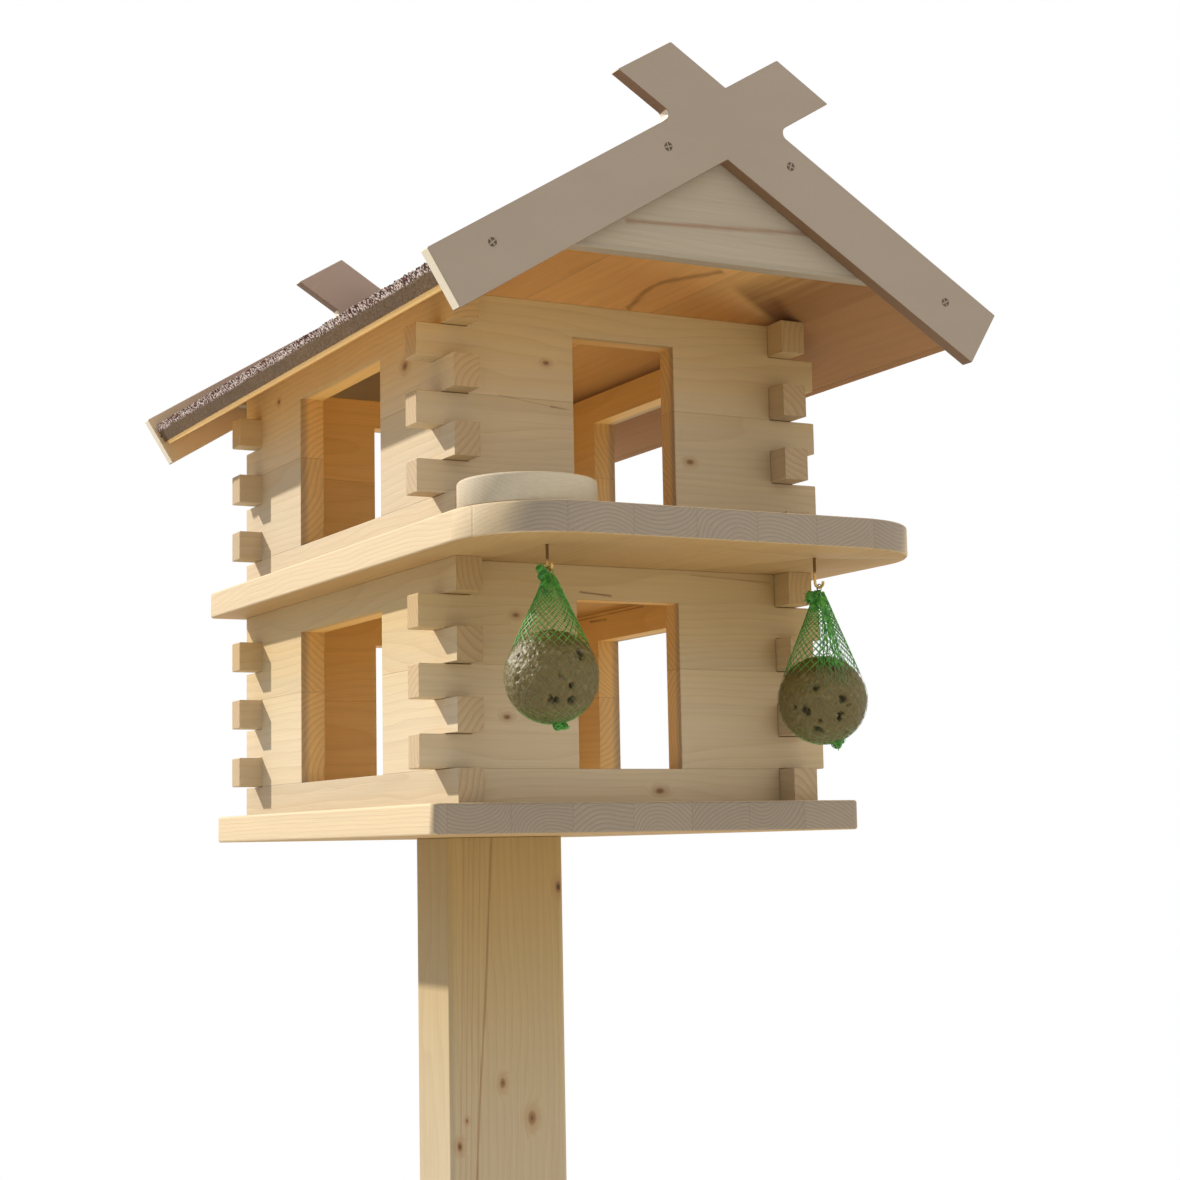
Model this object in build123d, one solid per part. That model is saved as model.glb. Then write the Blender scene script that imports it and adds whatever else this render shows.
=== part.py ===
from build123d import *
import math
import os

# Bird feeder house: two storeys of interlocked pine walls on a square-edged post.
# Millimetres, +Z up, the front faces -Y. The origin is the middle of the post's foot.

# Post
post_width = 92.0
post_depth = 60.0
post_height = 1200.0
post_edge = 3.0
house_forward = 40.0

# Plan of the house
house_width = 264.0
house_depth = 360.0
wall_thickness = 18.0
tooth_overhang = 18.0
joint_gap = 0.3

# Height of one comb level, and the levels in a storey
level_height = 22.0
levels = 7

# Windows, counted in comb levels from the floor
window_first_level = 2
window_last_level = 6
front_window_width = 76.0
side_window_width = 154.0

# Floor plates
plate_thickness = 19.5
plate_corner = 5.0
plate_edge = 1.0
base_side_overhang = 24.0
base_front_overhang = 32.0
base_back_overhang = 18.0
balcony_side_overhang = 27.0
balcony_front_overhang = 134.0
balcony_back_overhang = 28.0
balcony_corner = 63.0

# Roof
roof_pitch = 31.5
roof_board_thickness = 15.0
roof_front_overhang = 128.0
roof_back_overhang = 50.0
eave_overhang = 61.0
roof_seat = 1.5
felt_thickness = 2.0
felt_fold = 12.0
ridge_strip_reach = 45.0

# Barge boards and the gable boards behind them
barge_width = 39.0
barge_thickness = 10.0
barge_drop = 14.5
barge_end_reach = 5.0
prong_reach = 45.0
barge_inner_round = 4.5
gable_thickness = 11.0

# Turned feeding dish on the balcony
dish_radius = 42.5
dish_height = 17.5
dish_rim = 5.0
dish_recess = 10.0
dish_edge = 2.0
dish_from_side_edge = 46.0
dish_from_front_edge = 53.0

# Screw hooks under the balcony
hook_from_front_edge = 50.0
hook_left_from_side = 59.0
hook_right_from_side = 65.0
hook_left_drop = 16.0
hook_right_drop = 19.0
hook_left_turn = -90.0
hook_right_turn = 0.0
wire_radius = 0.9
hook_bend = 3.1
hook_sweep = 200.0
hook_screw_depth = 10.0
hook_hole_gap = 0.2

# Fat balls, each in a net that is drawn up to a ring of cord over its hook
ball_radius = 28.3
net_gap = 0.3
net_thickness = 0.7
net_left_hang = 35.0
net_right_hang = 43.0
net_tip_radius = 3.4
ring_radius = 2.4
cord_radius = 0.5
ring_gap = 0.7
knot_radius = 3.6
knot_side = 6.0
tail_radius = 4.0
tail_left_side = 5.0
tail_right_side = 10.0

os.makedirs("parts", exist_ok=True)

# Places worked out from the sizes above
pitch = math.radians(roof_pitch)
half_width = house_width / 2
half_depth = house_depth / 2
storey_height = levels * level_height
base_top = post_height + plate_thickness
balcony_top = base_top + storey_height + plate_thickness
wall_top = balcony_top + storey_height
front_face = -house_forward - half_depth
back_face = -house_forward + half_depth

balcony_under = balcony_top - plate_thickness
balcony_front = front_face - balcony_front_overhang
balcony_side = half_width + balcony_side_overhang
hook_y = balcony_front + hook_from_front_edge
net_radius = ball_radius + net_gap + net_thickness

# The roof boards rest on the planed outer top edges of the side walls
seat_x = half_width - roof_seat
ridge_under = wall_top + seat_x * math.tan(pitch)
eave_x = half_width + eave_overhang
eave_run = (eave_x - roof_board_thickness * math.sin(pitch)) / math.cos(pitch)
roof_front = front_face - roof_front_overhang
roof_back = back_face + roof_back_overhang


def save(node, solid):
    """Write one sub-part and name its node."""
    solid.label = node
    export_step(solid, f"parts/{node}.step")
    return solid


def post():
    """Sawn post with eased upright edges."""
    body = Box(post_width, post_depth, post_height, align=(Align.CENTER, Align.CENTER, Align.MIN))
    return chamfer(body.edges().filter_by(Axis.Z), post_edge)


def plate(top, side_overhang, front_overhang, back_overhang, front_corner):
    """Floor plate with an overhang on each side of the walls and rounded corners."""
    width = house_width + 2 * side_overhang
    front = front_face - front_overhang
    back = back_face + back_overhang
    outline = Pos(0, (front + back) / 2) * Rectangle(width, back - front)
    outline = fillet(outline.vertices().group_by(Axis.Y)[0], front_corner)
    outline = fillet(outline.vertices().group_by(Axis.Y)[-1], plate_corner)
    body = Pos(0, 0, top - plate_thickness) * extrude(outline, plate_thickness)
    rims = body.edges().group_by(Axis.Z)
    return chamfer(rims[0] + rims[-1], plate_edge)


def comb_outline(reach, tooth_parity):
    """Half outline of a wall with comb ends: (along, up) points from the floor upward."""
    seat = reach - wall_thickness
    tip = reach + tooth_overhang
    points = []
    for level in range(levels):
        low = level * level_height
        high = low + level_height
        is_tooth = level % 2 == tooth_parity
        along = tip if is_tooth else seat
        if is_tooth:
            low += joint_gap / 2 if level else 0
            high -= joint_gap / 2 if level < levels - 1 else 0
        else:
            low -= joint_gap / 2 if level else 0
            high += joint_gap / 2 if level < levels - 1 else 0
        points += [(along, low), (along, high)]
    return points


def comb_wall(reach, tooth_parity, window_width):
    """Wall panel standing in the XZ plane, centred on Y, with comb ends and a window."""
    right = comb_outline(reach, tooth_parity)
    left = [(-along, up) for along, up in reversed(right)]
    panel = make_face(Polyline(*right, *left, close=True))
    sill = (window_first_level - 1) * level_height
    window_height = window_last_level * level_height - sill
    panel -= Pos(0, sill + window_height / 2) * Rectangle(window_width, window_height)
    return extrude(Plane.XZ * panel, wall_thickness / 2, both=True)


def front_wall(floor):
    """Wall across the house; its teeth sit on the even levels."""
    return Pos(0, front_face + wall_thickness / 2, floor) * comb_wall(half_width, 1, front_window_width)


def back_wall(floor):
    """Twin of the front wall on the back of the house."""
    return Pos(0, back_face - wall_thickness / 2, floor) * comb_wall(half_width, 1, front_window_width)


def slope_points(run, rise):
    """Point at a distance run down the slope from the ridge and rise above its underside."""
    along = run * math.cos(pitch) + rise * math.sin(pitch)
    up = ridge_under - run * math.sin(pitch) + rise * math.cos(pitch)
    return (along, up)


def ridge_point(rise):
    """Point over the middle of the house, rise above the slope's underside."""
    return (0, ridge_under + rise / math.cos(pitch))


def upright(points, front, back):
    """Extrude an outline drawn in X and Z from the front to the back."""
    face = make_face(Polyline(*points, close=True))
    body = extrude(Plane.XZ * face, (back - front) / 2, both=True)
    return Pos(0, (front + back) / 2, 0) * body


def mirrored(points, side):
    """The same outline on the left (-1) or the right (1) of the house."""
    return [(side * along, up) for along, up in points]


def side_wall(side, floor):
    """Wall along the house; its teeth sit on the odd levels."""
    wall = Rot(0, 0, 90) * comb_wall(half_depth, 0, side_window_width)
    return Pos(side * (half_width - wall_thickness / 2), -house_forward, floor) * wall


def roof_space(side):
    """Everything above the underside of one roof slope, for planing the wall's seat."""
    far = eave_run + tooth_overhang
    section = [ridge_point(0), slope_points(far, 0), slope_points(far, far), ridge_point(far)]
    return upright(mirrored(section, side), roof_front, roof_back)


def upper_side_wall(side):
    """Side wall whose outer top edge is planed to carry the roof board."""
    return side_wall(side, balcony_top) - roof_space(side)


def roof_board(side):
    """Board with a plumb ridge cut and a square eave."""
    section = [
        ridge_point(0),
        slope_points(eave_run, 0),
        slope_points(eave_run, roof_board_thickness),
        ridge_point(roof_board_thickness),
    ]
    return upright(mirrored(section, side), roof_front, roof_back)


def roof_felt(side):
    """Felt laid on the board and folded down over its eave."""
    top = roof_board_thickness + felt_thickness
    fold = roof_board_thickness - felt_fold
    section = [
        ridge_point(roof_board_thickness),
        slope_points(eave_run, roof_board_thickness),
        slope_points(eave_run, fold),
        slope_points(eave_run + felt_thickness, fold),
        slope_points(eave_run + felt_thickness, top),
        ridge_point(top),
    ]
    return upright(mirrored(section, side), roof_front, roof_back)


def ridge_strip():
    """Strip of felt bent over the ridge."""
    low = roof_board_thickness + felt_thickness
    high = low + felt_thickness
    right = [slope_points(ridge_strip_reach, low), slope_points(ridge_strip_reach, high)]
    left = mirrored(right[::-1], -1)
    return upright([ridge_point(low), *right, ridge_point(high), *left], roof_front, roof_back)


def gable_board(front):
    """Triangle that closes the gable from the wall top up to the roof boards."""
    corners = [(-seat_x, wall_top), (seat_x, wall_top), (0, ridge_under)]
    return upright(corners, front, front + gable_thickness)


def barge_board(front):
    """Crossed barge board cut from one panel, with two finial prongs."""
    apex = ridge_under - barge_drop / math.cos(pitch)
    run = eave_run + barge_end_reach - barge_drop * math.tan(pitch)
    cross = barge_width / math.sin(2 * pitch)
    prong = cross + prong_reach
    end = (run * math.cos(pitch), apex - run * math.sin(pitch))
    end_top = (end[0] + barge_width * math.sin(pitch), end[1] + barge_width * math.cos(pitch))
    crossing = (cross * math.cos(pitch), apex + cross * math.sin(pitch))
    prong_low = (prong * math.cos(pitch), apex + prong * math.sin(pitch))
    prong_top = (prong_low[0] - crossing[0], prong_low[1] + crossing[1] - apex)
    notch = (0, apex + barge_width / math.cos(pitch))
    right = [end, end_top, crossing, prong_low, prong_top]
    board = upright([(0, apex), *right, notch, *mirrored(right[::-1], -1)], front, front + barge_thickness)
    rounds = [
        edge
        for edge in board.edges().filter_by(Axis.Y)
        if abs(edge.center().Z - crossing[1]) < 0.01 and abs(abs(edge.center().X) - crossing[0]) < 0.01
    ]
    return fillet(rounds, barge_inner_round)


def base_plate():
    """Plate under the lower storey, fixed on top of the post."""
    return plate(base_top, base_side_overhang, base_front_overhang, base_back_overhang, plate_corner)


def balcony_plate():
    """Floor of the upper storey, carried out in front, with a pilot hole for each hook."""
    board = plate(
        balcony_top, balcony_side_overhang, balcony_front_overhang, balcony_back_overhang, balcony_corner
    )
    depth = hook_screw_depth + hook_hole_gap
    drill = Cylinder(wire_radius + hook_hole_gap, depth, align=(Align.CENTER, Align.CENTER, Align.MIN))
    for place in (left_shank, right_shank):
        board -= Pos(*place, balcony_under) * drill
    return board


def feeding_dish():
    """Turned wooden dish with a rounded recess."""
    recess = dish_radius - dish_rim
    bowl = (recess**2 + dish_recess**2) / (2 * dish_recess)
    body = Cylinder(dish_radius, dish_height, align=(Align.CENTER, Align.CENTER, Align.MIN))
    body = fillet(body.edges().group_by(Axis.Z)[-1], dish_edge)
    body -= Pos(0, 0, dish_height - dish_recess + bowl) * Sphere(bowl)
    centre = (dish_from_side_edge - balcony_side, balcony_front + dish_from_front_edge)
    return Pos(*centre, balcony_top) * body


def shank_place(bend_x, turn):
    """Where a hook's shank stands, so that its bend is over the given place across the house."""
    angle = math.radians(turn)
    return (bend_x - hook_bend * math.cos(angle), hook_y - hook_bend * math.sin(angle))


def hook(shank, drop, turn):
    """Screw hook, open at one side; turn is the way its bend points, from +X towards +Y."""
    bend_z = hook_bend - drop
    path = Line((0, hook_screw_depth), (0, bend_z)) + JernArc((0, bend_z), (0, -1), hook_bend, hook_sweep)
    section = Plane(origin=(0, 0, hook_screw_depth), z_dir=(0, 0, -1)) * Circle(wire_radius)
    wire = sweep(section, path=Plane.XZ * path)
    return Pos(*shank, balcony_under) * Rot(0, 0, turn) * wire


def ball_place(bend_x, drop, hang):
    """Middle of a fat ball that hangs from the bend of its hook."""
    return Pos(bend_x, hook_y, balcony_under - drop - hang - net_radius)


def fat_ball(bend_x, drop, hang):
    """Pressed ball of fat and seed."""
    return ball_place(bend_x, drop, hang) * Sphere(ball_radius)


def bag_outline(radius, tip_z, tip_radius):
    """Half section of a bag: round under the ball, then straight up to its tip."""
    reach = math.hypot(tip_z, tip_radius)
    angle = math.acos(radius / reach) + math.atan2(tip_radius, tip_z)
    touch = (radius * math.sin(angle), radius * math.cos(angle))
    middle = (radius * math.sin((angle + math.pi) / 2), radius * math.cos((angle + math.pi) / 2))
    bowl = ThreePointArc((0, -radius), middle, touch)
    side = Line(touch, (tip_radius, tip_z))
    return bowl + side + Line((tip_radius, tip_z), (0, tip_z)) + Line((0, tip_z), (0, -radius))


def bag(radius, tip_z, tip_radius):
    """Solid of the bag's outline turned about the upright axis."""
    return revolve(Plane.XZ * make_face(bag_outline(radius, tip_z, tip_radius)), Axis.Z)


def ball_net(bend_x, drop, hang, turn, tail_side):
    """Net round a ball, drawn up to a ring over the hook, with its knot and its tied end."""
    ring_z = net_radius + hang + wire_radius + ring_gap + cord_radius - ring_radius
    tip_z = ring_z - ring_radius - cord_radius / 2
    tail_z = -math.sqrt(ball_radius**2 - tail_side**2)
    net = bag(net_radius, tip_z, net_tip_radius)
    net += Pos(-knot_side, 0, tip_z) * Sphere(knot_radius)
    net += Pos(tail_side, 0, tail_z) * Sphere(tail_radius)
    net -= bag(ball_radius + net_gap, tip_z - 2 * net_tip_radius, net_tip_radius - net_thickness)
    net += Pos(0, 0, ring_z) * Rot(0, 0, turn) * Rot(0, 90, 0) * Torus(ring_radius, cord_radius)
    return ball_place(bend_x, drop, hang) * net


left_bend = hook_left_from_side - balcony_side
right_bend = balcony_side - hook_right_from_side
left_shank = shank_place(left_bend, hook_left_turn)
right_shank = shank_place(right_bend, hook_right_turn)

save("post", post())
save("base_plate", base_plate())
save("balcony_plate", balcony_plate())
for storey, floor in (("lower", base_top), ("upper", balcony_top)):
    save(f"{storey}_front_wall", front_wall(floor))
    save(f"{storey}_back_wall", back_wall(floor))
for name, side in (("left", -1), ("right", 1)):
    save(f"lower_{name}_wall", side_wall(side, base_top))
    save(f"upper_{name}_wall", upper_side_wall(side))
    save(f"roof_board_{name}", roof_board(side))
    save(f"roof_felt_{name}", roof_felt(side))
save("ridge_felt", ridge_strip())
save("front_gable_board", gable_board(roof_front))
save("back_gable_board", gable_board(roof_back - gable_thickness))
save("front_barge_board", barge_board(roof_front - barge_thickness))
save("back_barge_board", barge_board(roof_back))
save("feeding_dish", feeding_dish())
for name, bend, drop, hang, shank, turn, tail_side in (
    ("left", left_bend, hook_left_drop, net_left_hang, left_shank, hook_left_turn, tail_left_side),
    ("right", right_bend, hook_right_drop, net_right_hang, right_shank, hook_right_turn, tail_right_side),
):
    save(f"hook_{name}", hook(shank, drop, turn))
    save(f"fat_ball_{name}", fat_ball(bend, drop, hang))
    save(f"ball_net_{name}", ball_net(bend, drop, hang, turn, tail_side))
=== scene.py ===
import logging
import random
from collections.abc import Callable
from dataclasses import dataclass
from enum import Enum
from functools import cached_property
from math import acos, atan2, cos, hypot, pi, prod, radians, sin, sqrt, tau

import bmesh
import bpy
from bmesh.types import BMesh, BMVert
from bpy.types import ID, Material, Mesh, Node, NodeSocket, Object, World
from mathutils import Matrix, Vector, noise


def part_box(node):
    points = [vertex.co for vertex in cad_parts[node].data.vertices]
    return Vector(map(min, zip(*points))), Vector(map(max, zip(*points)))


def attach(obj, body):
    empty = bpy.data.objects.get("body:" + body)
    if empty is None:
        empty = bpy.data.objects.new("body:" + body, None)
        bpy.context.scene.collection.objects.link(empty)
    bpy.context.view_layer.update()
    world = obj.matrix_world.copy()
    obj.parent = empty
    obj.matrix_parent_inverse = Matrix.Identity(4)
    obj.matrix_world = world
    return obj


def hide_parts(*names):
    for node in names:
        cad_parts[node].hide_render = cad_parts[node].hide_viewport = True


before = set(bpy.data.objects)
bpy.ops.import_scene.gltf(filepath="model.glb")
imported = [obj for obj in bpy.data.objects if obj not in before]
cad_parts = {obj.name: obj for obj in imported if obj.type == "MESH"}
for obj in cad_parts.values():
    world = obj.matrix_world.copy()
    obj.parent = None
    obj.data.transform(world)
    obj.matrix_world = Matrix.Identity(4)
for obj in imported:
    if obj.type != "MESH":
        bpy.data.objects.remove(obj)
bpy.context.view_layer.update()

log = logging.getLogger("feeder")

Pair = tuple[float, float]
Triple = tuple[float, float, float]
Rgb = tuple[int, int, int]
Linear = tuple[float, float, float, float]

MM = 0.001
TOUCH = 0.00001
X, Y, Z = (1.0, 0.0, 0.0), (0.0, 1.0, 0.0), (0.0, 0.0, 1.0)
LEFTWARD, FORWARD, DOWN = (-1.0, 0.0, 0.0), (0.0, -1.0, 0.0), (0.0, 0.0, -1.0)

# Measures of the CAD model, in millimetres: floor and top of each storey's walls, and the outer
# faces of the walls, the post and the gable boards.
STOREYS = {"lower": (1219.5, 1373.5), "upper": (1393.0, 1547.0)}
FRONT, BACK, SIDE = -220.0, 140.0, 132.0
POST_FRONT, POST_SIDE, POST_TOP = -30.0, 46.0, 1200.0
GABLE_FRONT, GABLE_BACK = -348.0, 190.0
HOUSE_Y = -40.0
INNER_SIDE = 114.0
INNER_DEPTH = 162.0
NO_LIMIT = 2000.0
ROOF_PITCH = radians(31.5)


def tone(*shade: int) -> Linear:
    """Turn red, green and blue from 0 to 255, as a screen shows them, into a linear colour."""
    levels = [value / 255 for value in shade]
    return (*(v / 12.92 if v <= 0.04045 else ((v + 0.055) / 1.055) ** 2.4 for v in levels), 1.0)


def darker(shade: Rgb, share: float) -> Linear:
    """Return a share of a colour as a linear colour."""
    return tone(*(int(value * share) for value in shade))


class Blend(Enum):
    """How one colour is laid over another."""

    OVER = "MIX"
    MULTIPLY = "MULTIPLY"


def operator(operation: str, reflected: bool = False) -> Callable[..., "Wire"]:
    """Make a method for Wire that adds a Math node.

    Args:
        operation: what the node does.
        reflected: whether the wire is the second value.

    Returns:
        The method.
    """

    def method(self: "Wire", *others: "Wire | float") -> "Wire":
        """Calculate with the wire and the other values."""
        return self.painter.math(operation, *((*others, self) if reflected else (self, *others)))

    return method


class Wire:
    """A shader socket that can be calculated with like a number."""

    __add__ = __radd__ = operator("ADD")
    __sub__ = operator("SUBTRACT")
    __rsub__ = operator("SUBTRACT", reflected=True)
    __mul__ = __rmul__ = operator("MULTIPLY")
    __truediv__ = operator("DIVIDE")
    __pow__ = operator("POWER")
    __abs__ = operator("ABSOLUTE")
    floor = operator("FLOOR")
    fract = operator("FRACT")
    root = operator("SQRT")
    lesser = operator("MINIMUM")
    greater = operator("MAXIMUM")

    def __init__(self, painter: "Painter", socket: NodeSocket) -> None:
        """Keep the socket and the painter that owns it."""
        self.painter = painter
        self.socket = socket

    def dot(self, axis: Triple) -> "Wire":
        """Return how far a vector reaches along an axis."""
        return self.painter.vector("DOT_PRODUCT", self, axis)

    def scaled(self, factors: Triple) -> "Wire":
        """Return a vector with each part multiplied."""
        return self.painter.vector("MULTIPLY", self, factors)

    def smooth(self, low: float, high: float) -> "Wire":
        """Rise smoothly from 0 to 1.

        Args:
            low: value at which the result is 0.
            high: value at which the result is 1, which may be the smaller one.

        Returns:
            The smoothed value.
        """
        if low > high:
            return 1.0 - self.smooth(high, low)
        limits = {"Value": self, "From Min": low, "From Max": high}
        node = self.painter.node("ShaderNodeMapRange", limits, interpolation_type="SMOOTHSTEP")
        return Wire(self.painter, node.outputs["Result"])


Value = Wire | float
Colour = Wire | Linear | Rgb
SCALARS = ("LENGTH", "DISTANCE", "DOT_PRODUCT")


class Painter:
    """Builds the nodes of one material, or of the world."""

    def __init__(self, name: str, world: World | None = None) -> None:
        """Start an empty material, or go on with a world.

        Args:
            name: name of the material.
            world: the world, if there is no material to make.
        """
        self.material = world or bpy.data.materials.new(name)
        self.material.use_nodes = True
        self.tree = self.material.node_tree
        self.shader = self.tree.nodes["Background" if world else "Principled BSDF"]

    def feed(self, socket: NodeSocket, value: object) -> None:
        """Link a wire to a socket, or set a value on it.

        Args:
            socket: the input.
            value: wire or value.
        """
        if isinstance(value, Wire):
            self.tree.links.new(value.socket, socket)
        else:
            socket.default_value = value

    def node(
        self, kind: str, inputs: dict[str, object] | None = None, **settings: object
    ) -> Node:
        """Add a node, set its options, and set or link its inputs.

        Args:
            kind: node type.
            inputs: value or wire for each input, by name or number.
            **settings: properties of the node.

        Returns:
            The new node.
        """
        node = self.tree.nodes.new(kind)
        for key, value in settings.items():
            setattr(node, key, value)
        for key, value in (inputs or {}).items():
            self.feed(node.inputs[key], value)
        return node

    def math(self, operation: str, *values: Value) -> Wire:
        """Calculate with numbers."""
        node = self.node("ShaderNodeMath", dict(enumerate(values)), operation=operation)
        return Wire(self, node.outputs[0])

    def vector(self, operation: str, *values: object) -> Wire:
        """Calculate with vectors; a length, distance or dot product comes back as a number."""
        node = self.node("ShaderNodeVectorMath", dict(enumerate(values)), operation=operation)
        return Wire(self, node.outputs["Value" if operation in SCALARS else "Vector"])

    def combine(self, x: Value, y: Value, z: Value) -> Wire:
        """Make a vector of three numbers."""
        return Wire(self, self.node("ShaderNodeCombineXYZ", {"X": x, "Y": y, "Z": z}).outputs[0])

    def split(self, vector: Wire) -> tuple[Wire, Wire, Wire]:
        """Take a vector apart into three numbers."""
        node = self.node("ShaderNodeSeparateXYZ", {"Vector": vector})
        return tuple(Wire(self, socket) for socket in node.outputs)

    def mix(self, factor: Value, below: Colour, above: Colour, blend: Blend = Blend.OVER) -> Wire:
        """Lay one colour over another; three whole numbers are red, green and blue up to 255.

        Args:
            factor: how much of the upper colour shows.
            below: colour under it.
            above: colour over it.
            blend: way of laying it on.

        Returns:
            The mixed colour.
        """
        node = self.node("ShaderNodeMix", data_type="RGBA", blend_type=blend.value, clamp_factor=True)
        colours = (tone(*c) if isinstance(c, tuple) and len(c) == 3 else c for c in (below, above))
        values = dict(zip(("Factor_Float", "A_Color", "B_Color"), (factor, *colours)))
        for socket in node.inputs:
            if socket.identifier in values:
                self.feed(socket, values[socket.identifier])
        out = next(socket for socket in node.outputs if socket.identifier == "Result_Color")
        return Wire(self, out)

    def layers(self, colour: Colour, *layers: tuple[Value, Colour]) -> Wire:
        """Lay several colours over one another.

        Args:
            colour: the lowest colour.
            *layers: how much of each next colour shows, and the colour.

        Returns:
            The mixed colour.
        """
        for factor, above in layers:
            colour = self.mix(factor, colour, above)
        return colour

    def tint(self, factor: Value, colour: Colour, tint: Triple) -> Wire:
        """Multiply a colour by a tint, as far as the factor says."""
        return self.mix(factor, colour, (*tint, 1.0), Blend.MULTIPLY)

    @cached_property
    def place(self) -> Wire:
        """Object coordinates in millimetres."""
        coords = Wire(self, self.node("ShaderNodeTexCoord").outputs["Object"])
        return coords.scaled((1000.0, 1000.0, 1000.0))

    def toward(self, axis: Triple) -> Wire:
        """How far the surface faces the way an axis points, from -1 to 1."""
        return Wire(self, self.node("ShaderNodeTexCoord").outputs["Normal"]).dot(axis)

    def facing(self, axis: Triple) -> Wire:
        """How far the surface faces along an axis, from 0 to 1 either way."""
        return abs(self.toward(axis))

    def cloud(self, vector: Wire, scale: float, detail: float = 2.0, rough: float = 0.5) -> Wire:
        """Soft noise from 0 to 1."""
        inputs = {"Vector": vector, "Scale": scale, "Detail": detail, "Roughness": rough}
        return Wire(self, self.node("ShaderNodeTexNoise", inputs).outputs[0])

    def cells(self, vector: Wire, scale: float) -> tuple[Wire, Wire]:
        """Distance to the nearest cell's middle, and the cell's own random colour."""
        node = self.node("ShaderNodeTexVoronoi", {"Vector": vector, "Scale": scale})
        return Wire(self, node.outputs["Distance"]), Wire(self, node.outputs["Color"])

    def chance(self, number: Wire) -> Wire:
        """A random number from 0 to 1 for each whole number."""
        node = self.node("ShaderNodeTexWhiteNoise", {"W": number}, noise_dimensions="1D")
        return Wire(self, node.outputs["Value"])

    def bump(self, height: Wire, depth: float, strength: float) -> Wire:
        """Turn a height from 0 to 1 into a bent normal; depth is what 1 means, in metres."""
        inputs = {"Height": height, "Distance": depth, "Strength": strength}
        return Wire(self, self.node("ShaderNodeBump", inputs).outputs[0])

    def finish(
        self, colour: Colour, rough: Value, normal: Wire | None = None, **constants: float
    ) -> Material:
        """Connect the Principled shader.

        Args:
            colour: base colour.
            rough: roughness.
            normal: bent normal, if there is one.
            **constants: other inputs, with _ for a space.

        Returns:
            The finished material.
        """
        inputs = {"Base Color": colour, "Roughness": rough}
        if normal is not None:
            inputs["Normal"] = normal
        inputs.update((key.replace("_", " "), value) for key, value in constants.items())
        for key, value in inputs.items():
            self.feed(self.shader.inputs[key], value)
        return self.material


@dataclass(frozen=True)
class Knot:
    """A branch knot in a board, at a place in millimetres."""

    place: Triple
    size: float


@dataclass(frozen=True)
class Mark:
    """A dark streak, crack, resin line or painted shade between two places in millimetres."""

    start: Triple
    end: Triple
    width: float
    strength: float = 0.8
    shade: Rgb = (104, 70, 42)


@dataclass(frozen=True)
class Fade:
    """A tint that comes in along an axis, between two distances in millimetres.

    It stays away from the part that lies below every limit in clear. The fades are painted light
    and painted shade.
    """

    axis: Triple
    low: float
    high: float
    tint: Triple
    clear: tuple[tuple[Triple, float], ...] = ()


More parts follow.
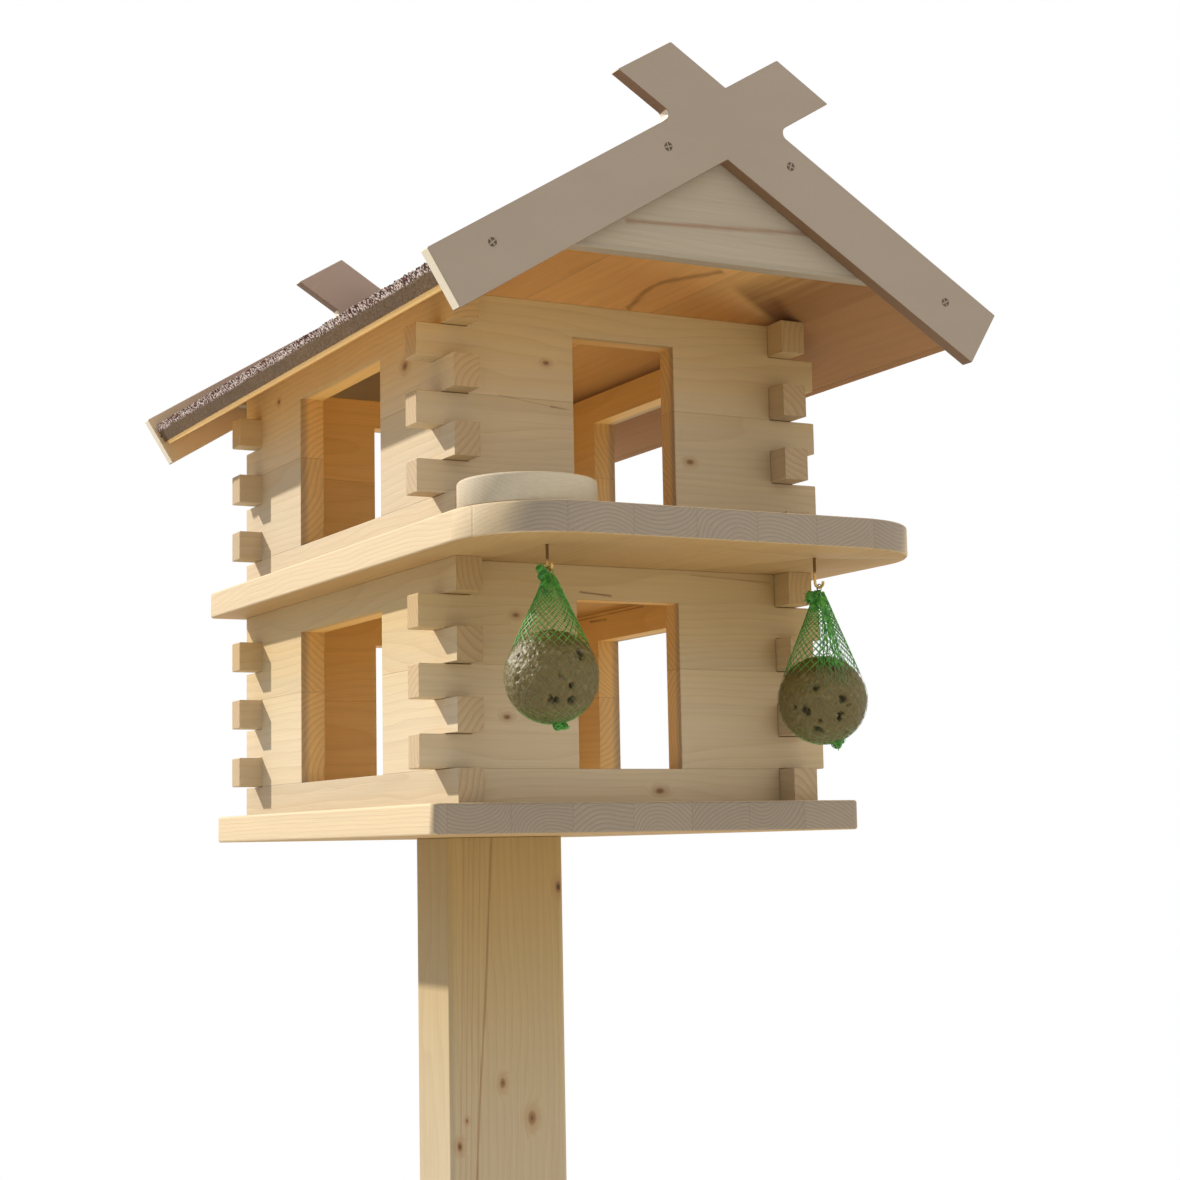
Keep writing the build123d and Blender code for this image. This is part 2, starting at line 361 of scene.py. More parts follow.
@dataclass(frozen=True)
class Pine:
    """Sawn or planed pine: rings, latewood lines, fibres, knots and glued lamellae.

    The grain runs along one axis; lamellae lie side by side along another. A room's inside gets a
    tint of painted warm bounce light: inner is the axis and the two distances between which it comes
    in, and inside is the middle and the half-length of the room along the grain and across it. The
    fades and the tint of downward faces are painted light and shade too.
    """

    name: str
    grain: Triple
    across: Triple
    lamella: float = 60.0
    early: Rgb = (176, 152, 117)
    late: Rgb = (146, 114, 76)
    end: Rgb = (150, 134, 112)
    knots: tuple[Knot, ...] = ()
    marks: tuple[Mark, ...] = ()
    inner: tuple[Triple, float, float] | None = None
    inside: tuple[Pair, Pair] = ((0.0, NO_LIMIT), (0.0, NO_LIMIT))
    # The tint inside a room is painted warm bounce light; the tint of downward faces is painted shade.
    inner_bounce_tint: Triple = (1.62, 1.50, 1.08)
    underside_shade_tint: Triple | None = None
    fades: tuple[Fade, ...] = ()
    ring: float = 4.2
    wander: float = 34.0
    seed: float = 0.0
    offset: float = 0.0
    seams: float = 0.25
    contrast: float = 0.3
    relief: float = 0.00022

    def material(self, node: str) -> Material:
        """Make the wood's material for one piece.

        Args:
            node: CAD node it is for.

        Returns:
            The finished material.
        """
        paint = Painter(f"{self.name}_{node}")
        place = paint.place
        depth_axis = tuple(Vector(self.grain).cross(Vector(self.across)))
        low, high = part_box(node)
        level = ((low + high) / 2 / MM).dot(Vector(depth_axis))
        along, across, depth = (place.dot(axis) for axis in (self.grain, self.across, depth_axis))

        strip = (across + self.offset) / self.lamella
        number = strip.floor()
        first = paint.chance(number + (self.seed + 0.37))
        second = paint.chance(number * 1.7 + (self.seed + 11.3))
        third = paint.chance(number * 2.3 + (self.seed + 5.9))

        # Each lamella is cut at its own distance from the tree's heart, and on either side of it.
        local = (strip.fract() - 0.5) * self.lamella + (first - 0.5) * (self.lamella * 1.5)
        under = depth - level + (third.smooth(0.49, 0.51) * 2.0 - 1.0) * (18.0 + second * 36.0)
        slow = paint.combine(along * 0.0035, across * 0.012, depth * 0.012 + third * 9.0)
        sway = paint.cloud(slow, 1.0, 2.0, 0.55) - 0.5
        radius = ((local + sway * self.wander) ** 2.0 + (under + sway * 20.0) ** 2.0).root()
        knot_near = self.knot_distance(paint)
        if knot_near is not None:
            radius = radius + knot_near.smooth(3.4, 0.7) * 7.0
        phase = radius / self.ring + paint.cloud(slow, 3.1, 1.0) * 1.2 + third * 7.0
        ring = phase.fract()
        latewood = ring ** 3.0 * ring.smooth(1.0, 0.93)

        strand = paint.combine(along * 0.012, across * 0.9, depth * 0.9)
        fibre = paint.cloud(strand, 1.0, 3.0, 0.6)
        coarse = paint.combine(along * 0.006, across * 0.16, depth * 0.16)
        patch = paint.cloud(coarse, 1.0, 2.0, 0.5)

        end_face = paint.facing(self.grain).smooth(0.6, 0.85)
        lines = latewood * (0.4 + patch * 1.2) * self.contrast
        side = paint.mix(lines, self.early, self.late)
        end = paint.mix(lines * 1.8, self.end, darker(self.end, 0.74))
        colour = paint.mix(end_face, side, end)
        light = 0.80 + fibre * 0.20 + patch * 0.16 + first * 0.12 - third * 0.08
        colour = paint.mix(1.0, colour, paint.combine(light, light, light), Blend.MULTIPLY)
        # Painted light and shade: warm bounce inside rooms, the fades, and shade on downward faces.
        colour = self.lay_painted_light(paint, colour, (along, across), patch)

        seam = abs(strip.fract() - 0.5)
        seam = seam.smooth(0.5 - 0.45 / self.lamella, 0.5 - 0.1 / self.lamella)
        colour = paint.mix(seam * self.seams, colour, (104, 82, 56))
        if knot_near is not None:
            colour = self.knotted(paint, colour, knot_near, fibre)
        covers: dict[Rgb, Wire] = {}
        for mark in self.marks:
            cover = self.mark(paint, mark, fibre)
            before = covers.get(mark.shade)
            covers[mark.shade] = cover if before is None else before.greater(cover)
        for shade, cover in covers.items():
            colour = paint.mix(cover, colour, shade)

        pores = paint.cloud(place, 0.9, 3.0)
        height = fibre * 0.5 - latewood * 0.35 + pores * 0.35 - seam * 0.8
        rough = 0.62 + patch * 0.12 - lines * 0.1
        normal = paint.bump(height, self.relief, 0.7)
        return paint.finish(colour, rough, normal, Specular_IOR_Level=0.35)

    def lay_painted_light(
        self, paint: Painter, colour: Wire, spread: tuple[Wire, Wire], patch: Wire
    ) -> Wire:
        """Lay painted light and shade over the wood: warm bounce inside rooms, fades, downward faces.

        Args:
            paint: painter of the material.
            colour: colour of the bare wood.
            spread: distance along the grain and across it.
            patch: broad noise, for uneven limits.

        Returns:
            The tinted colour.
        """
        place = paint.place
        # Painted warm bounce light on the faces inside a room.
        if self.inner is not None:
            axis, low, high = self.inner
            warm_bounce = place.dot(axis).smooth(low, high)
            for position, (centre, reach) in zip(spread, self.inside):
                warm_bounce = warm_bounce * abs(position - centre).smooth(reach + 1.0, reach - 1.0)
            colour = paint.tint(warm_bounce, colour, self.inner_bounce_tint)
        # The fades are painted light and painted shade.
        for fade in self.fades:
            far = place.dot(fade.axis) + (patch - 0.5) * min(30.0, fade.high - fade.low)
            cover = far.smooth(fade.low, fade.high)
            if fade.clear:
                limits = [place.dot(axis).smooth(limit, limit - 12.0) for axis, limit in fade.clear]
                cover = cover * (1.0 - prod(limits))
            colour = paint.tint(cover, colour, fade.tint)
        # Painted shade on downward faces.
        if self.underside_shade_tint is not None:
            colour = paint.tint(paint.toward(DOWN).smooth(0.6, 0.9), colour, self.underside_shade_tint)
        return colour

    def knot_distance(self, paint: Painter) -> Wire | None:
        """Distance to the nearest knot, 1 at its rim.

        Args:
            paint: painter of the material.

        Returns:
            The distance, or nothing where there is no knot.
        """
        nearest = None
        stretch = [1.0 - 0.38 * abs(part) for part in Vector(self.grain)]
        for knot in self.knots:
            away = paint.vector("SUBTRACT", paint.place, knot.place)
            scaled = away.scaled(tuple(part / knot.size for part in stretch))
            distance = paint.vector("LENGTH", scaled)
            nearest = distance if nearest is None else nearest.lesser(distance)
        if nearest is None:
            return None
        wobble = paint.cloud(paint.place, 0.16, 2.0)
        return nearest * (0.8 + wobble * 0.4)

    def knotted(self, paint: Painter, colour: Wire, near: Wire, fibre: Wire) -> Wire:
        """Lay the knots over the wood.

        Args:
            paint: painter of the material.
            colour: colour of the wood.
            near: distance to the nearest knot, 1 at its rim.
            fibre: noise along the grain, for ragged rings.

        Returns:
            The colour with the knots.
        """
        heart = near.smooth(1.15, 0.55)
        halo = near.smooth(2.8, 0.9) * 0.42
        swirl = (near * 4.0 + fibre).fract() ** 2.0
        pith = (near.smooth(0.5, 0.1), (88, 58, 36))
        core = paint.layers((138, 100, 62), pith, (swirl * 0.4, (96, 66, 42)))
        return paint.layers(colour, (halo, (158, 120, 76)), (heart * 0.85, core))

    def mark(self, paint: Painter, mark: Mark, fibre: Wire) -> Wire:
        """How strongly a streak covers each place.

        Args:
            paint: painter of the material.
            mark: the streak.
            fibre: noise along the grain, for ragged edges.

        Returns:
            The cover from 0 to 1.
        """
        run = Vector(mark.end) - Vector(mark.start)
        away = paint.vector("SUBTRACT", paint.place, mark.start)
        share = away.dot(tuple(run / run.length_squared)).greater(0.0).lesser(1.0)
        foot = paint.combine(share, share, share).scaled(tuple(run))
        distance = paint.vector("DISTANCE", away, foot)
        ragged = (fibre - 0.5) * (mark.width * 0.9)
        edge = distance + ragged + paint.cloud(paint.place, 0.05, 2.0) * mark.width * 0.6
        return edge.smooth(mark.width * 1.3, mark.width * 0.1) * mark.strength


@dataclass(frozen=True)
class Panel:
    """Smooth pale board of the barge boards, browner on its thickness and pale at its end faces. Both
    are partly the board's own edge colour: the brown is partly painted shade, the pale ends partly
    painted sunlight.
    """

    name: str = "barge_panel"
    face: Rgb = (163, 146, 127)
    shade: Rgb = (151, 133, 113)
    edge: Rgb = (138, 106, 76)
    tip: Rgb = (226, 212, 186)
    fades: tuple[Fade, ...] = ()

    def material(self, node: str) -> Material:
        """Make the panel's material.

        Args:
            node: CAD node it is for.

        Returns:
            The finished material.
        """
        paint = Painter(f"{self.name}_{node}")
        place = paint.place
        broad = paint.cloud(place.scaled((0.012, 0.012, 0.03)), 1.0, 3.0)
        fine = paint.cloud(place.scaled((0.25, 1.0, 1.1)), 1.0, 3.0, 0.6)
        colour = paint.mix(broad * 0.7 + fine * 0.3, self.face, self.shade)
        # The fades are painted light.
        for fade in self.fades:
            colour = paint.tint(place.dot(fade.axis).smooth(fade.low, fade.high), colour, fade.tint)
        front = paint.facing(Y).smooth(0.5, 0.8)
        stripe = paint.cloud(place.scaled((0.03, 1.4, 0.03)), 1.0, 2.0)
        # Brown thickness faces are partly painted shade; pale end faces are partly painted sunlight.
        edge = paint.mix(stripe, self.edge, darker(self.edge, 0.78))
        edge = paint.mix(paint.facing(X).smooth(0.7, 0.8), edge, self.tip)
        colour = paint.mix(front, edge, colour)
        normal = paint.bump(fine, 0.00008, 0.6)
        return paint.finish(colour, 0.5 + fine * 0.12, normal, Specular_IOR_Level=0.4)


@dataclass(frozen=True)
class Felt:
    """Mineral roofing felt: granules pressed into bitumen."""

    name: str = "felt"
    base: Rgb = (92, 56, 46)
    pale: Rgb = (230, 212, 200)
    dark: Rgb = (54, 36, 32)
    # The fold's colour is painted shade.
    fold: Rgb = (104, 78, 42)
    fold_height: float = 8.0

    def material(self) -> Material:
        """Make the felt's material, smooth where it is folded over the eaves, with painted shade there.

        Returns:
            The finished material.
        """
        paint = Painter(self.name)
        fold_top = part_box("roof_felt_left")[0].z / MM + self.fold_height
        place = paint.place
        distance, colour_of = paint.cells(place, 0.85)
        red, green, _ = paint.split(colour_of)
        patch = paint.cloud(place, 0.02, 3.0)
        colour = paint.layers(
            self.dark, (green, self.base), (red.smooth(0.52, 0.6), self.pale),
            (red.smooth(0.2, 0.12), (128, 76, 60)), (patch * 0.35, (70, 44, 38)),
        )
        _, _, level = paint.split(place)
        folded = (level + (patch - 0.5) * 2.0).smooth(fold_top + 1.0, fold_top - 1.0)
        # Painted shade on the fold, in two browns.
        fold_shade = paint.mix(patch, self.fold, (76, 54, 30))
        colour = paint.mix(folded * 0.94, colour, fold_shade)
        height = distance.smooth(0.75, 0.1) * (1.0 - folded * 0.8)
        return paint.finish(colour, 0.85, paint.bump(height, 0.0004, 0.9), Specular_IOR_Level=0.3)


@dataclass(frozen=True)
class Brass:
    """Brass-plated wire, tarnished where the thread is."""

    name: str = "brass_wire"
    bright: Rgb = (214, 176, 104)
    tarnish: Rgb = (104, 70, 40)

    def material(self, thread_low: float) -> Material:
        """Make the metal.

        Args:
            thread_low: height in millimetres above which the thread is dark.

        Returns:
            The finished material.
        """
        paint = Painter(self.name)
        place = paint.place
        _, _, height = paint.split(place)
        spots = paint.cloud(place, 1.6, 3.0)
        dark = (height - thread_low + (spots - 0.5) * 3.0).smooth(-1.0, 1.5)
        colour = paint.mix(dark * 0.8 + spots * 0.2, self.bright, self.tarnish)
        return paint.finish(colour, 0.28 + spots * 0.25 + dark * 0.15, Metallic=0.9)


@dataclass(frozen=True)
class FatAndSeed:
    """Pressed fat with seeds, with painted shade in its holes and darker towards its bottom."""

    name: str = "fat_and_seed"
    fat: Rgb = (110, 94, 36)
    seed: Rgb = (92, 77, 26)
    # The colour in the holes is painted shade.
    hole: Rgb = (34, 28, 15)
    low: Rgb = (98, 80, 36)

    def material(self, middle: Vector, radius: float) -> Material:
        """Make the ball's material.

        Args:
            middle: middle of the ball in millimetres.
            radius: its radius in millimetres.

        Returns:
            The finished material.
        """
        paint = Painter(self.name)
        place = paint.place
        away = paint.vector("DISTANCE", place, tuple(middle))
        depth = (radius - away).smooth(1.2, 3.2)
        _, colour_of = paint.cells(place, 0.42)
        red, green, blue = paint.split(colour_of)
        grit = paint.cloud(place, 0.8, 3.0)
        _, _, height = paint.split(place)
        low = height.smooth(middle.z + radius * 0.5, middle.z - radius * 0.8)
        # The dark colour laid into the holes is painted shade.
        colour = paint.layers(
            self.fat, (red * 0.6, self.seed), (green.smooth(0.90, 0.96) * 0.3, (160, 142, 92)),
            (blue.smooth(0.96, 0.98) * 0.6, (66, 58, 30)), (low * 0.6, self.low),
            (depth * 0.9, self.hole), (grit * 0.25, (84, 74, 38)),
        )
        rough = 0.40 + grit * 0.16 + depth * 0.4
        return paint.finish(colour, rough, paint.bump(grit, 0.0006, 0.9), Specular_IOR_Level=0.5)


@dataclass(frozen=True)
class NetPlastic:
    """Green plastic strand, greasy where it lies on the ball."""

    name: str = "net_green"
    light: Rgb = (98, 176, 66)
    dark: Rgb = (46, 120, 38)
    greased: Rgb = (112, 110, 66)

    def material(self, middle: Vector, radius: float) -> Material:
        """Make the strand's material.

        Args:
            middle: middle of the ball in millimetres.
            radius: radius of the ball in millimetres.

        Returns:
            The finished material.
        """
        paint = Painter(self.name)
        place = paint.place
        change = paint.cloud(place, 0.35, 2.0)
        away = paint.vector("DISTANCE", place, tuple(middle))
        _, _, height = paint.split(place)
        on_ball = away.smooth(radius + 2.2, radius + 1.0)
        on_ball = on_ball * height.smooth(middle.z - 24.0, middle.z - 14.0)
        greasy = on_ball * (0.55 + change * 0.6)
        leaf = (change.smooth(0.3, 0.7), self.light)
        colour = paint.layers(self.dark, leaf, (greasy, self.greased))
        return paint.finish(colour, 0.42, Specular_IOR_Level=0.5)


@dataclass(frozen=True)
class ScrewSteel:
    """Zinc-plated screw head, spotted with rust."""

    name: str = "screw_steel"
    colour: Rgb = (104, 90, 70)
    rust: Rgb = (62, 50, 38)

    def material(self) -> Material:
        """Make the metal.

        Returns:
            The finished material.
        """
        paint = Painter(self.name)
        spots = paint.cloud(paint.place, 1.2, 3.0)
        colour = paint.mix(spots.smooth(0.4, 0.7), self.colour, self.rust)
        return paint.finish(colour, 0.4 + spots * 0.2, Metallic=0.6)


def placed(name: str, data: ID) -> Object:
    """Put something into the scene.

    Args:
        name: name of the new object.
        data: its mesh, curve, camera or lamp.

    Returns:
        The new object.
    """
    thing = bpy.data.objects.new(name, data)
    bpy.context.scene.collection.objects.link(thing)
    return thing


def baked(name: str, shape: BMesh) -> Mesh:
    """Turn a bmesh into a smooth mesh and free it.

    Args:
        name: name of the new mesh.
        shape: the bmesh.

    Returns:
        The mesh.
    """
    mesh = bpy.data.meshes.new(name)
    shape.to_mesh(mesh)
    shape.free()
    mesh.shade_smooth()
    return mesh


def settle(
    name: str, mesh: Mesh, material: Material, body: str
) -> Object:
    """Put a mesh into the scene as a piece that moves with a body.

    Args:
        name: name of the new piece.
        mesh: its mesh, with its place in the mesh.
        material: its finish.
        body: CAD body that it moves with.

    Returns:
        The new piece.
    """
    mesh.materials.clear()
    mesh.materials.append(material)
    piece = placed(name, mesh)
    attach(piece, body)
    log.info("%s: %d faces", name, len(mesh.polygons))
    return piece


def polar(radius: float, angle: float, height: float = 0.0) -> Vector:
    """Return the place at an angle on a level circle."""
    return Vector((radius * cos(angle), radius * sin(angle), height))


def strands(
    name: str,
    paths: list[list[Vector]],
    radius: float,
    closed: bool = False,
    sides: int = 0,
    swell: list[float] | None = None,
) -> Mesh:
    """Make round strands along paths.

    Args:
        name: name of the mesh.
        paths: points of each strand.
        radius: radius of a strand.
        closed: whether each path is a loop.
        sides: extra roundness of the section.
        swell: share of the radius at each point of a path.

    Returns:
        The mesh of all the strands.
    """
    curve = bpy.data.curves.new(name, "CURVE")
    curve.dimensions = "3D"
    curve.bevel_depth = radius
    curve.bevel_resolution = sides
    curve.use_fill_caps = not closed
    for path in paths:
        spline = curve.splines.new("POLY")
        spline.points.add(len(path) - 1)
        for index, (point, place) in enumerate(zip(spline.points, path)):
            point.co = (*place, 1.0)
            point.radius = swell[index] if swell else 1.0
        spline.use_cyclic_u = closed
    holder = placed(name, curve)
    bpy.context.view_layer.update()
    graph = bpy.context.evaluated_depsgraph_get()
    mesh = bpy.data.meshes.new_from_object(holder.evaluated_get(graph))
    bpy.data.objects.remove(holder)
    bpy.data.curves.remove(curve)
    mesh.shade_smooth()
    return mesh


def joined(name: str, meshes: list[Mesh]) -> Mesh:
    """Join meshes into one.

    Args:
        name: name of the new mesh.
        meshes: meshes to join.

    Returns:
        The joined mesh.
    """
    shape = bmesh.new()
    for mesh in meshes:
        shape.from_mesh(mesh)
    bmesh.ops.recalc_face_normals(shape, faces=shape.faces)
    return baked(name, shape)


def scattered(name: str, lump: Mesh, places: list[Matrix]) -> Mesh:
    """Repeat a small lump at many places.

    Args:
        name: name of the new mesh.
        lump: mesh to repeat.
        places: where each copy goes.

    Returns:
        The mesh of all the lumps.
    """
    shape = bmesh.new()
    for place in places:
        copy = lump.copy()
        copy.transform(place)
        shape.from_mesh(copy)
        bpy.data.meshes.remove(copy)
    return baked(name, shape)


def round_lump(name: str, rings: int) -> Mesh:
    """Make a ball of radius 1.

    Args:
        name: name of the mesh.
        rings: subdivisions.

    Returns:
        The ball.
    """
    shape = bmesh.new()
    bmesh.ops.create_icosphere(shape, subdivisions=rings, radius=1.0)
    return baked(name, shape)


def any_way(chance: random.Random) -> Vector:
    """Return a random direction."""
    return Vector((chance.gauss(0, 1), chance.gauss(0, 1), chance.gauss(0, 1))).normalized()


def turned(chance: random.Random) -> Matrix:
    """Return a random turn."""
    axis = any_way(chance)
    return Matrix.Rotation(chance.uniform(0, tau), 4, axis)


@dataclass
class Studio:
    """Camera, lamp, world and floor."""

    lens: float = 67.18
    sensor: float = 36.0
    place: Triple = (-0.69458, -1.47863, 1.19073)
    yaw: float = 27.893
    pitch: float = 6.682
    roll: float = -1.048
    sun_from: Triple = (-0.552, 0.635, 0.541)
    sun: float = 4.8
    sun_angle: float = 1.5
    sun_colour: Triple = (1.0, 0.97, 0.92)
    ambient: Linear = (1.07, 1.07, 1.07, 1.0)
    left: Linear = (0.40, 0.46, 0.57, 1.0)
    backdrop: Linear = (1.0, 1.0, 1.0, 1.0)
    floor_size: float = 3.0
    floor_drop: float = 0.0005
    floor_seen: Linear = (0.82, 0.81, 0.80, 1.0)
    floor_bounce: Linear = (0.58, 0.55, 0.50, 1.0)

    def build(self) -> None:
        """Build the whole studio."""
        bpy.context.scene.view_settings.view_transform = "Standard"
        self.camera()
        self.lamp()
        self.world()
        self.floor()

    def camera(self) -> None:
        """Stand the camera where the photo was taken."""
        data = bpy.data.cameras.new("camera")
        data.lens = self.lens
        data.sensor_width = self.sensor
        stance = Matrix.Translation(self.place)
        for angle, axis in ((-self.yaw, "Z"), (90.0 + self.pitch, "X"), (self.roll, "Z")):
            stance = stance @ Matrix.Rotation(radians(angle), 4, axis)
        camera = placed("camera", data)
        camera.matrix_world = stance
        bpy.context.scene.camera = camera

    def lamp(self) -> None:
        """Hang the sun at the back left."""
        data = bpy.data.lights.new("sun", "SUN")
        data.energy = self.sun
        data.angle = radians(self.sun_angle)
        data.color = self.sun_colour
        lamp = placed("sun", data)
        lamp.rotation_euler = Vector(self.sun_from).to_track_quat("Z", "Y").to_euler()

    def world(self) -> None:
        """Make the world white to look at, and a softer light that is dimmer from the left."""
        world = bpy.data.worlds.new("world")
        bpy.context.scene.world = world
        paint = Painter("world", world)
        way = Wire(paint, paint.node("ShaderNodeTexCoord").outputs["Generated"])
        light = paint.mix(way.dot(LEFTWARD).smooth(0.1, 0.9), self.ambient, self.left)
        rays = paint.node("ShaderNodeLightPath")
        seen = Wire(paint, rays.outputs["Is Camera Ray"])
        for kind in ("Is Glossy Ray", "Is Transmission Ray"):
            seen = seen.greater(Wire(paint, rays.outputs[kind]))
        paint.feed(paint.shader.inputs["Color"], paint.mix(seen, light, self.backdrop))

    def floor(self) -> None:
        """Lay the pale floor just under the post's foot."""
        shape = bmesh.new()
        under = Matrix.Translation((0, 0, -self.floor_drop))
        bmesh.ops.create_grid(shape, x_segments=1, y_segments=1, size=self.floor_size, matrix=under)
        mesh = baked("floor", shape)
        paint = Painter("floor")
        seen = Wire(paint, paint.node("ShaderNodeLightPath").outputs["Is Camera Ray"])
        colour = paint.mix(seen, self.floor_bounce, self.floor_seen)
        mesh.materials.append(paint.finish(colour, 0.9, Specular_IOR_Level=0.1))
        floor = placed("floor", mesh)


def knots_at(*places: Linear) -> tuple[Knot, ...]:
    """Make knots from the three coordinates and the size of each."""
    return tuple(Knot(place[:3], place[3]) for place in places)


# The sawn post, with knots and with brown lines down the left of its front.
POST_BEND = ((-11.9, 1202.0), (-18.6, 1083.0), (-24.0, 1009.0), (-40.0, 700.0), (-41.0, 0.0))
POST_LINES = tuple(
    Mark((x0, POST_FRONT, z0), (x1, POST_FRONT, z1), 1.7, 0.7, (136, 96, 54))
    for (x0, z0), (x1, z1) in zip(POST_BEND, POST_BEND[1:])
)
POST_LINES += tuple(
    Mark((x, POST_FRONT, 1202.0), (x - 9.0, POST_FRONT, 800.0), 1.0, 0.4, (150, 110, 66))
    for x in (-34.0, -30.0, -26.0, -21.0)
)
POST_LINES += tuple(
    Mark((x, POST_FRONT, z - 1.0), (x, POST_FRONT, z + 1.0), 1.7, 0.9, (58, 38, 24))
    for x, z in ((41.5, 1162.9), (-39.6, 983.2))
)
POST_KNOTS = knots_at(
    (41.5, POST_FRONT, 1162.9, 3.0), (-5.4, POST_FRONT, 1025.2, 2.6), (17.3, POST_FRONT, 999.1, 3.6),
    (-39.6, POST_FRONT, 983.2, 2.4), (-33.9, POST_FRONT, 1000.7, 1.2), (14.0, POST_FRONT, 640.0, 5.0),
    (-20.0, POST_FRONT, 380.0, 4.0), (POST_SIDE, 8.0, 820.0, 6.0), (-POST_SIDE, -4.0, 560.0, 5.0),
    (8.0, -POST_FRONT, 900.0, 6.0),
)
# Golden towards the top under the plate: painted warm bounce light.
POST = Pine(
    "post_pine", Z, X, lamella=400.0, offset=200.0, seams=0.0, seed=2.0, ring=5.4,
    contrast=0.22, early=(175, 157, 125), late=(150, 123, 88), knots=POST_KNOTS,
    fades=(Fade(Z, 960.0, POST_TOP, (0.95, 0.82, 0.50)),), marks=POST_LINES,
)

# Knots of the walls, cracks of the front walls, and painted shadow lines inside the lower right
# wall along its top, under the plate.
WALL_KNOTS = knots_at(
    (-57.8, FRONT, 1505.6, 1.7), (49.5, FRONT, 1447.2, 2.0), (-82.2, FRONT, 1339.4, 1.8),
    (-89.5, FRONT, 1274.1, 1.8), (20.7, FRONT, 1227.0, 2.2), (-SIDE, -160.2, 1509.4, 3.2),
    (-SIDE, 83.4, 1531.4, 2.0), (-SIDE, -50.6, 1247.3, 2.4), (SIDE, -90.0, 1262.0, 3.0),
    (SIDE, 96.0, 1448.0, 3.4), (62.0, BACK, 1476.0, 3.0), (-70.0, BACK, 1280.0, 3.6),
)
WALL_MARKS = (
    Mark((-54.7, FRONT, 1477.0), (-37.0, FRONT + 1.0, 1475.4), 1.0, 0.8),
    Mark((-92.0, FRONT, 1481.5), (-54.7, FRONT, 1477.0), 0.6, 0.35),
    Mark((-35.7, FRONT, 1356.0), (-12.9, FRONT, 1354.2), 1.1, 0.85),
    Mark((47.4, FRONT, 1370.6), (110.4, FRONT, 1367.7), 1.0, 0.45),
    # Painted shadow lines along the top of the lower right wall's inside, under the plate.
    Mark((INNER_SIDE, 70.0, 1370.8), (INNER_SIDE, -36.0, 1371.2), 1.0, 0.7),
    Mark((INNER_SIDE, 50.0, 1367.8), (INNER_SIDE, 23.0, 1367.2), 1.3, 0.7),
)

DISH = Pine(
    "dish_wood", X, Y, lamella=200.0, offset=400.0, seams=0.0, seed=90.0, ring=2.2,
    contrast=0.12, early=(194, 179, 151), late=(178, 154, 120), end=(190, 173, 144),
)


